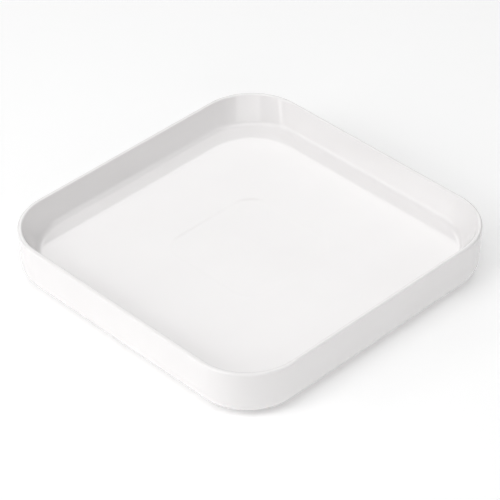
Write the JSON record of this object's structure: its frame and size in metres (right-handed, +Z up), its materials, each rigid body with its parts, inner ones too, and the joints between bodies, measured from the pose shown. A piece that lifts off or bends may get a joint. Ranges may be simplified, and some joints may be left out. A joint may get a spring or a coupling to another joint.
{
  "type": "lazy susan turntable",
  "caption": "Square white tray with raised sides and rounded corners that turns freely on a ball-bearing base hidden inside its outer shell.",
  "frame": {"origin": "on the turning axis, in the plane that the feet stand on", "axes": "+Z up along the turning axis; the tray's sides lie along X and Y at rest"},
  "size_m": [0.2498, 0.2498, 0.0385],
  "materials": {
    "tray_plastic": "smooth glossy white moulding",
    "base_plastic": "fine satin moulded texture, white",
    "race_steel": "pressed and ground steel track",
    "ball_steel": "polished bearing steel",
    "cage_nylon": "natural nylon",
    "fastener_steel": "zinc-plated steel",
    "bush_acetal": "self-lubricating acetal, black",
    "foot_rubber": "soft non-slip rubber"
  },
  "bodies": {
    "base": {"base_plate": "base_plastic", "lower_race": "race_steel", "pivot_bolt": "fastener_steel", "thrust_washer": "fastener_steel", "lock_nut": "fastener_steel", "foot_1": "foot_rubber", "foot_2": "foot_rubber", "foot_3": "foot_rubber", "foot_4": "foot_rubber"},
    "tray": {"tray": "tray_plastic", "outer_shell": "tray_plastic", "shell_screws": "fastener_steel", "tray_screws": "fastener_steel", "bearing_plate": "base_plastic", "upper_race": "race_steel", "pivot_bush": "bush_acetal"},
    "cage": {"ball_cage": "cage_nylon"},
    "ball_01": {"ball_01": "ball_steel"},
    "ball_02": {"ball_02": "ball_steel"},
    "ball_03": {"ball_03": "ball_steel"},
    "ball_04": {"ball_04": "ball_steel"},
    "ball_05": {"ball_05": "ball_steel"},
    "ball_06": {"ball_06": "ball_steel"},
    "ball_07": {"ball_07": "ball_steel"},
    "ball_08": {"ball_08": "ball_steel"},
    "ball_09": {"ball_09": "ball_steel"},
    "ball_10": {"ball_10": "ball_steel"},
    "ball_11": {"ball_11": "ball_steel"},
    "ball_12": {"ball_12": "ball_steel"}
  },
  "joints": [
    {"name": "tray_spin", "type": "hinge", "parent": "base", "child": "tray", "pos_m": [0, 0, 0], "axis": [0, 0, 1], "continuous": true},
    {"name": "cage_spin", "type": "hinge", "parent": "base", "child": "cage", "pos_m": [0, 0, 0], "axis": [0, 0, 1], "continuous": true},
    {"name": "ball_01_roll", "type": "hinge", "parent": "cage", "child": "ball_01", "pos_m": [0.062, 0, 0.0088], "axis": [1, 0, 0], "continuous": true},
    {"name": "ball_02_roll", "type": "hinge", "parent": "cage", "child": "ball_02", "pos_m": [0.05369, 0.031, 0.0088], "axis": [0.866, 0.5, 0], "continuous": true},
    {"name": "ball_03_roll", "type": "hinge", "parent": "cage", "child": "ball_03", "pos_m": [0.031, 0.05369, 0.0088], "axis": [0.5, 0.866, 0], "continuous": true},
    {"name": "ball_04_roll", "type": "hinge", "parent": "cage", "child": "ball_04", "pos_m": [0, 0.062, 0.0088], "axis": [0, 1, 0], "continuous": true},
    {"name": "ball_05_roll", "type": "hinge", "parent": "cage", "child": "ball_05", "pos_m": [-0.031, 0.05369, 0.0088], "axis": [-0.5, 0.866, 0], "continuous": true},
    {"name": "ball_06_roll", "type": "hinge", "parent": "cage", "child": "ball_06", "pos_m": [-0.05369, 0.031, 0.0088], "axis": [-0.866, 0.5, 0], "continuous": true},
    {"name": "ball_07_roll", "type": "hinge", "parent": "cage", "child": "ball_07", "pos_m": [-0.062, 0, 0.0088], "axis": [-1, 0, 0], "continuous": true},
    {"name": "ball_08_roll", "type": "hinge", "parent": "cage", "child": "ball_08", "pos_m": [-0.05369, -0.031, 0.0088], "axis": [-0.866, -0.5, 0], "continuous": true},
    {"name": "ball_09_roll", "type": "hinge", "parent": "cage", "child": "ball_09", "pos_m": [-0.031, -0.05369, 0.0088], "axis": [-0.5, -0.866, 0], "continuous": true},
    {"name": "ball_10_roll", "type": "hinge", "parent": "cage", "child": "ball_10", "pos_m": [0, -0.062, 0.0088], "axis": [0, -1, 0], "continuous": true},
    {"name": "ball_11_roll", "type": "hinge", "parent": "cage", "child": "ball_11", "pos_m": [0.031, -0.05369, 0.0088], "axis": [0.5, -0.866, 0], "continuous": true},
    {"name": "ball_12_roll", "type": "hinge", "parent": "cage", "child": "ball_12", "pos_m": [0.05369, -0.031, 0.0088], "axis": [0.866, -0.5, 0], "continuous": true}
  ],
  "couplings": [
    {"joint": "cage_spin", "follows": "tray_spin", "ratio": 0.5},
    {"joint": "ball_01_roll", "follows": "tray_spin", "ratio": -10.333},
    {"joint": "ball_02_roll", "follows": "tray_spin", "ratio": -10.333},
    {"joint": "ball_03_roll", "follows": "tray_spin", "ratio": -10.333},
    {"joint": "ball_04_roll", "follows": "tray_spin", "ratio": -10.333},
    {"joint": "ball_05_roll", "follows": "tray_spin", "ratio": -10.333},
    {"joint": "ball_06_roll", "follows": "tray_spin", "ratio": -10.333},
    {"joint": "ball_07_roll", "follows": "tray_spin", "ratio": -10.333},
    {"joint": "ball_08_roll", "follows": "tray_spin", "ratio": -10.333},
    {"joint": "ball_09_roll", "follows": "tray_spin", "ratio": -10.333},
    {"joint": "ball_10_roll", "follows": "tray_spin", "ratio": -10.333},
    {"joint": "ball_11_roll", "follows": "tray_spin", "ratio": -10.333},
    {"joint": "ball_12_roll", "follows": "tray_spin", "ratio": -10.333}
  ]
}
